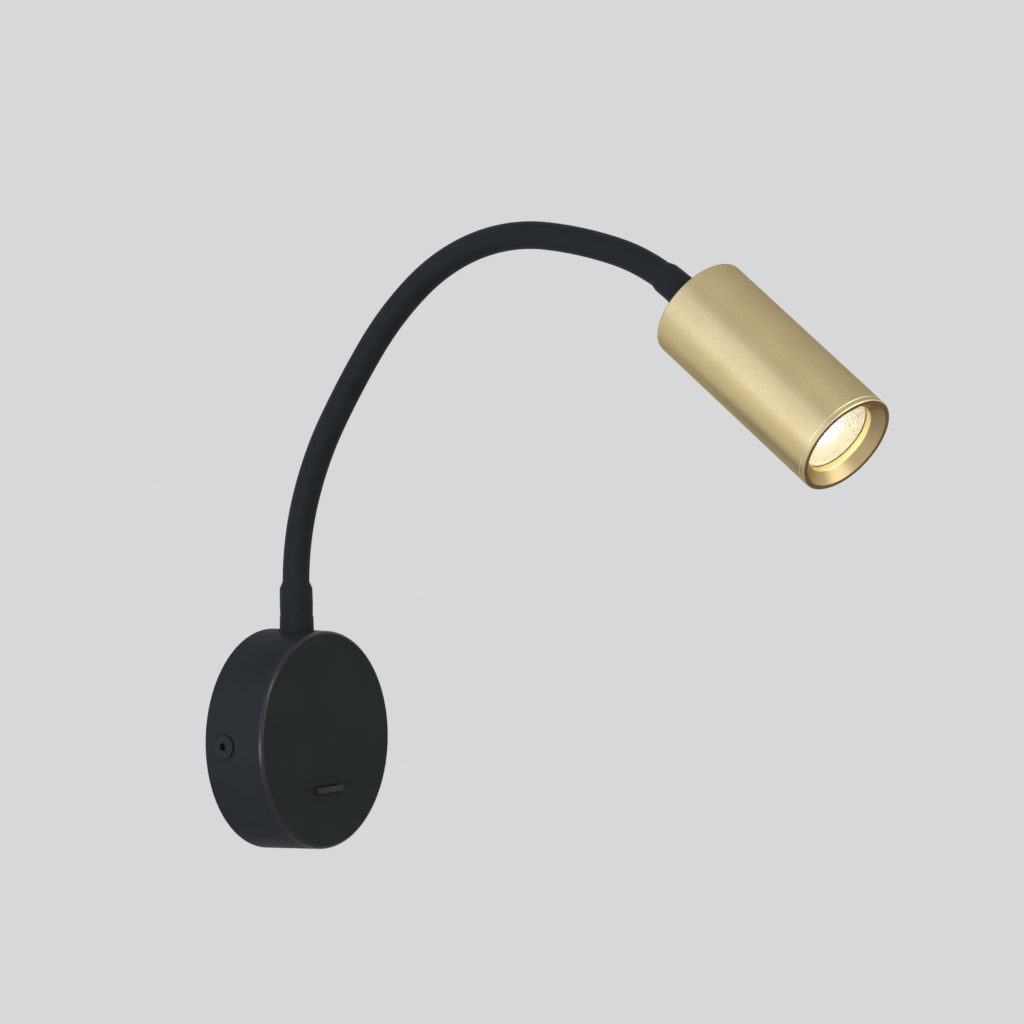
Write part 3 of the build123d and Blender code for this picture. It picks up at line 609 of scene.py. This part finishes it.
def skin_stations(start, end):
    """Even steps along a stretch, with each corner of the collars' profiles among them."""
    steps = max(int(round((end - start) / RING_STEP)), 2)
    stations = [start + (end - start) * step / steps for step in range(steps + 1)]
    corners = [place * MM for place, _ in LOWER_COLLAR]
    corners += [NECK_LENGTH - place * MM for place, _ in UPPER_COLLAR]
    for corner in corners:
        nearest = min(range(steps + 1), key=lambda index: abs(stations[index] - corner))
        if 0 < nearest < steps and start < corner < end:
            stations[nearest] = corner
    return stations


def sharpen(piece, is_edge):
    """Keeps the shading of two surfaces apart along the edges that a test names."""
    flags = piece.data.attributes.new("sharp_edge", "BOOLEAN", "EDGE")
    for edge in piece.data.edges:
        flags.data[edge.index].value = is_edge(*edge.vertices)


def neck_skin(name, start, end):
    """A stretch of the neck's skin between two distances from the box."""
    points = []
    rings = []
    stations = skin_stations(start, end)
    passes = [(distance, skin_radius(distance / MM)) for distance in stations]
    passes += [(distance, SKIN_BORE) for distance in reversed(stations)]
    for distance, millimetres in passes:
        centre, direction = neck_at(distance)
        side = direction.cross(bend_axis)
        radius = millimetres * MM
        ring = []
        for i in range(SKIN_SIDES):
            angle = 2 * pi * i / SKIN_SIDES
            ring.append(len(points))
            points.append(centre + (bend_axis * cos(angle) + side * sin(angle)) * radius)
        rings.append(ring)
    piece = mesh_object(name, points, closed_rings(rings))
    last = len(stations) - 1
    rims = (0, last, last + 1, 2 * last + 1)
    sharpen(piece, lambda a, b: a // SKIN_SIDES in rims and b // SKIN_SIDES in rims)
    finish_with(piece, "black_rubber")
    return piece


# each skin bends over one pivot and meets its neighbours halfway along the links
LINKS = len(pivot_points) - 1
for index in range(LINKS + 1):
    pivot_distance = RUN_STARTS[index + 1]
    half_before = RUNS[index][2] / 2
    half_after = RUNS[index + 1][2] / 2
    start = 0.0 if index == 0 else pivot_distance - half_before
    end = NECK_LENGTH if index == LINKS else pivot_distance + half_after
    skin = neck_skin(f"neck_skin_{index + 1}", start, end)
    if index == 0:
        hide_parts("lower_collar")
    elif index == LINKS:
        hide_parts(f"neck_sleeve_{index}", "upper_collar")
    else:
        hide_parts(f"neck_sleeve_{index}")
    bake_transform(skin)

# ---------------------------------------------------------------- the lamp's lens
LENS_SPOKES = 480
LENS_RIBS = 120
LENS_RINGS = 44
LENS_HONEYCOMB = 24
HONEYCOMB_END = 13.2
HONEYCOMB_RING = 2.24
RIBS_END = 17.9
LIP_START = 18.3
LIP_EDGE = 19.0
# depths under the lens's front plane: the dimple's edge and what its middle adds, the honeycomb's
# floor and the height of its cells, the ribs' tops, grooves and slope, the groove inside the lip
# and the drop at the lip's edge
DIMPLE_EDGE, DIMPLE_DEPTH = 0.25, 0.9
CELL_FLOOR, CELL_HEIGHT = 0.5, 0.42
RIB_TOP, RIB_GROOVE, RIB_SLOPE = 0.12, 0.2, 0.25
LIP_GROOVE, LIP_DROP = 0.3, 0.15


def lens_relief(radius, angle):
    """How far the lens's face lies under its front plane, in millimetres."""
    if radius < LENS_POCKET_RADIUS:
        return DIMPLE_EDGE + DIMPLE_DEPTH * (1 - (radius / LENS_POCKET_RADIUS) ** 2) ** 0.5
    if radius < HONEYCOMB_END:
        ring = (radius - LENS_POCKET_RADIUS) / HONEYCOMB_RING
        shift = pi * (int(ring) % 2)
        cell = abs(sin(ring * pi)) * abs(sin(LENS_HONEYCOMB * angle / 2 + shift / 2))
        return CELL_FLOOR - CELL_HEIGHT * cell
    if radius < RIBS_END:
        rib = abs(sin(LENS_RIBS * angle / 2))
        step = (radius - HONEYCOMB_END) / (RIBS_END - HONEYCOMB_END)
        return RIB_TOP + RIB_GROOVE * rib + RIB_SLOPE * (1 - step)
    groove = LIP_GROOVE * (1 - smoothstep(radius, RIBS_END, LIP_START))
    return groove + LIP_DROP * smoothstep(radius, LIP_EDGE, LENS_RADIUS)


def lens_face():
    """The faceted lens as one closed piece."""
    across = bend_axis
    upward = head_axis.cross(across)
    points = []
    rings = []

    def ring_at(radius, depth_of):
        ring = []
        for i in range(LENS_SPOKES):
            angle = 2 * pi * i / LENS_SPOKES
            depth = depth_of(angle)
            spoke = across * cos(angle) + upward * sin(angle)
            ring.append(len(points))
            points.append(head_back + (head_axis * depth + spoke * radius) * MM)
        rings.append(ring)

    for step in range(1, LENS_RINGS + 1):
        radius = LENS_RADIUS * step / LENS_RINGS
        ring_at(radius, lambda angle, r=radius: LENS_FRONT - lens_relief(r, angle))
    for radius, depth in (
        (LENS_RADIUS, LENS_BACK),
        (LENS_POCKET_RADIUS, LENS_BACK),
        (LENS_POCKET_RADIUS, LENS_POCKET_FLOOR),
    ):
        ring_at(radius, lambda angle, d=depth: d)
    faces = []
    for low, high in zip(rings, rings[1:]):
        for i in range(LENS_SPOKES):
            j = (i + 1) % LENS_SPOKES
            faces.append((low[i], high[i], high[j], low[j]))
    front_centre = len(points)
    points.append(head_back + head_axis * (LENS_FRONT - lens_relief(0.0, 0.0)) * MM)
    back_centre = len(points)
    points.append(head_back + head_axis * LENS_POCKET_FLOOR * MM)
    for i in range(LENS_SPOKES):
        j = (i + 1) % LENS_SPOKES
        faces.append((front_centre, rings[0][i], rings[0][j]))
        faces.append((back_centre, rings[-1][j], rings[-1][i]))
    piece = mesh_object("lens_face", points, faces, smooth=False)
    finish_with(piece, "clear_lens")
    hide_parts("lamp_lens")
    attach(piece, "head")


lens_face()

# ---------------------------------------------------------------- camera, light and floor
PALE = (0.682, 0.689, 0.704, 1.0)
FLOOR_COLOUR = (0.66, 0.664, 0.668, 1.0)
# the floor's height and half size, and where its shaded part round its middle fades out
FLOOR_Z = -0.42
FLOOR_HALF = 30.0
FLOOR_MIDDLE = (0.0, -0.2, FLOOR_Z)
FLOOR_FADE = (0.3, 0.9)


# the camera's angles in degrees, its focal length, half picture and image of the origin in
# pixels, and its distance in metres
AZIMUTH, ELEVATION, ROLL = -55.98, 2.26, -0.99
FOCAL_PX, HALF_PX = 5981.0, 512.0
ORIGIN_PX = (271.40, 738.02)
CAMERA_DISTANCE = 3.172


def photo_camera():
    """A long-lens camera in front of the lamp, to its left and a little above it."""
    azimuth, elevation, roll = radians(AZIMUTH), radians(ELEVATION), radians(ROLL)
    back = Vector(
        (sin(azimuth) * cos(elevation), -cos(azimuth) * cos(elevation), sin(elevation))
    )
    right = Vector((cos(azimuth), sin(azimuth), 0))
    up = back.cross(right)
    across = right * cos(roll) + up * sin(roll)
    upward = up * cos(roll) - right * sin(roll)
    shift_x = (ORIGIN_PX[0] - HALF_PX) * CAMERA_DISTANCE / FOCAL_PX
    shift_y = (ORIGIN_PX[1] - HALF_PX) * CAMERA_DISTANCE / FOCAL_PX
    place = back * CAMERA_DISTANCE - across * shift_x + upward * shift_y
    data = bpy.data.cameras.new("camera")
    data.sensor_width = 36.0
    data.lens = FOCAL_PX / (2 * HALF_PX) * data.sensor_width
    data.clip_end = 100.0
    camera = bpy.data.objects.new("camera", data)
    columns = Matrix((across, upward, back)).transposed().to_4x4()
    camera.matrix_world = Matrix.Translation(place) @ columns
    bpy.context.scene.collection.objects.link(camera)
    bpy.context.scene.camera = camera


AMBIENT = 0.28
UP = (0.0, 0.0, 1.0)
WHITE = (1.0, 1.0, 1.0)
COOL = (0.9, 1.0, 1.38)
# name, place and target in metres, width and height in metres, power in watts, the direction
# that the height lies along, and tint
SOFTBOXES = (
    ("key_left", (-1.57, 0.56, 0.84), (-0.03, -0.33, 0.17), 3.2, 1.8, 11.3,
     (0.03, 0.6, -0.8), COOL),
    ("key_low", (-0.216, 0.577, -0.187), (-0.04, -0.34, 0.17), 1.0, 1.2, 0.95,
     (0.9, 0.18, -0.39), WHITE),
    ("side_left", (-1.65, -0.12, -0.2), (-0.03, -0.02, 0.0), 2.0, 0.36, 15.5, UP, WHITE),
    ("fill_front", (0.09, -2.05, 0.43), (-0.04, -0.38, 0.16), 1.3, 1.2, 7.7, UP, WHITE),
    ("edge_front", (-0.66, -1.3, 1.3), (-0.04, -0.04, 0.03), 0.4, 0.4, 9.0, UP, WHITE),
)


def softbox(name, place, target, width, height, power, along, tint):
    """A large soft light that faces a point, its height laid along a direction."""
    data = bpy.data.lights.new(name, "AREA")
    data.shape = "RECTANGLE"
    data.size = width
    data.size_y = height
    data.energy = power
    data.color = tint
    light = bpy.data.objects.new(name, data)
    back = (Vector(place) - Vector(target)).normalized()
    across = Vector(along).cross(back).normalized()
    columns = Matrix((across, back.cross(across), back)).transposed().to_4x4()
    light.matrix_world = Matrix.Translation(place) @ columns
    light.visible_camera = False
    bpy.context.scene.collection.objects.link(light)


def background_share(tree):
    """1 for the rays that show the background: seen, mirrored or through glass."""
    paths = add(tree, "ShaderNodeLightPath")
    total = paths.outputs["Is Camera Ray"]
    for kind in ("Is Glossy Ray", "Is Transmission Ray"):
        larger = add(tree, "ShaderNodeMath", operation="MAXIMUM")
        tree.links.new(total, larger.inputs[0])
        tree.links.new(paths.outputs[kind], larger.inputs[1])
        total = larger.outputs["Value"]
    return total


def pale_world(strength):
    """An even ambient light behind a pale background."""
    world = bpy.data.worlds.new("world")
    bpy.context.scene.world = world
    world.use_nodes = True
    tree = world.node_tree
    tree.nodes.clear()
    ambient = add(
        tree, "ShaderNodeBackground", {"Color": (1.0, 1.0, 1.0, 1.0), "Strength": strength}
    )
    seen = add(tree, "ShaderNodeBackground", {"Color": PALE, "Strength": 1.0})
    mix = add(tree, "ShaderNodeMixShader")
    out = add(tree, "ShaderNodeOutputWorld")
    tree.links.new(background_share(tree), mix.inputs[0])
    tree.links.new(ambient.outputs[0], mix.inputs[1])
    tree.links.new(seen.outputs[0], mix.inputs[2])
    tree.links.new(mix.outputs[0], out.inputs["Surface"])


def pale_floor():
    """A floor that keeps the shadow under the lamp and runs out into the background."""
    signs = [(-1, -1), (1, -1), (1, 1), (-1, 1)]
    corners = [(x * FLOOR_HALF, y * FLOOR_HALF, FLOOR_Z) for x, y in signs]
    floor = mesh_object("floor", corners, [(0, 1, 2, 3)], smooth=False)
    material = bpy.data.materials.new("floor")
    material.use_nodes = True
    tree = material.node_tree
    tree.nodes.clear()
    diffuse = add(tree, "ShaderNodeBsdfDiffuse", {"Color": FLOOR_COLOUR})
    seen = add(tree, "ShaderNodeEmission", {"Color": PALE, "Strength": 1.0})
    place = add(tree, "ShaderNodeTexCoord").outputs["Object"]
    middle = add(tree, "ShaderNodeVectorMath", {1: FLOOR_MIDDLE}, operation="DISTANCE")
    tree.links.new(place, middle.inputs[0])
    far = remap(tree, middle.outputs["Value"], *FLOOR_FADE)
    mix = add(tree, "ShaderNodeMixShader")
    out = add(tree, "ShaderNodeOutputMaterial")
    tree.links.new(both(tree, far, background_share(tree)), mix.inputs[0])
    tree.links.new(diffuse.outputs[0], mix.inputs[1])
    tree.links.new(seen.outputs[0], mix.inputs[2])
    tree.links.new(mix.outputs[0], out.inputs["Surface"])
    floor.data.materials.append(material)


photo_camera()
pale_world(AMBIENT)
for light in SOFTBOXES:
    softbox(*light)
pale_floor()

bpy.context.scene.view_settings.view_transform = "Standard"
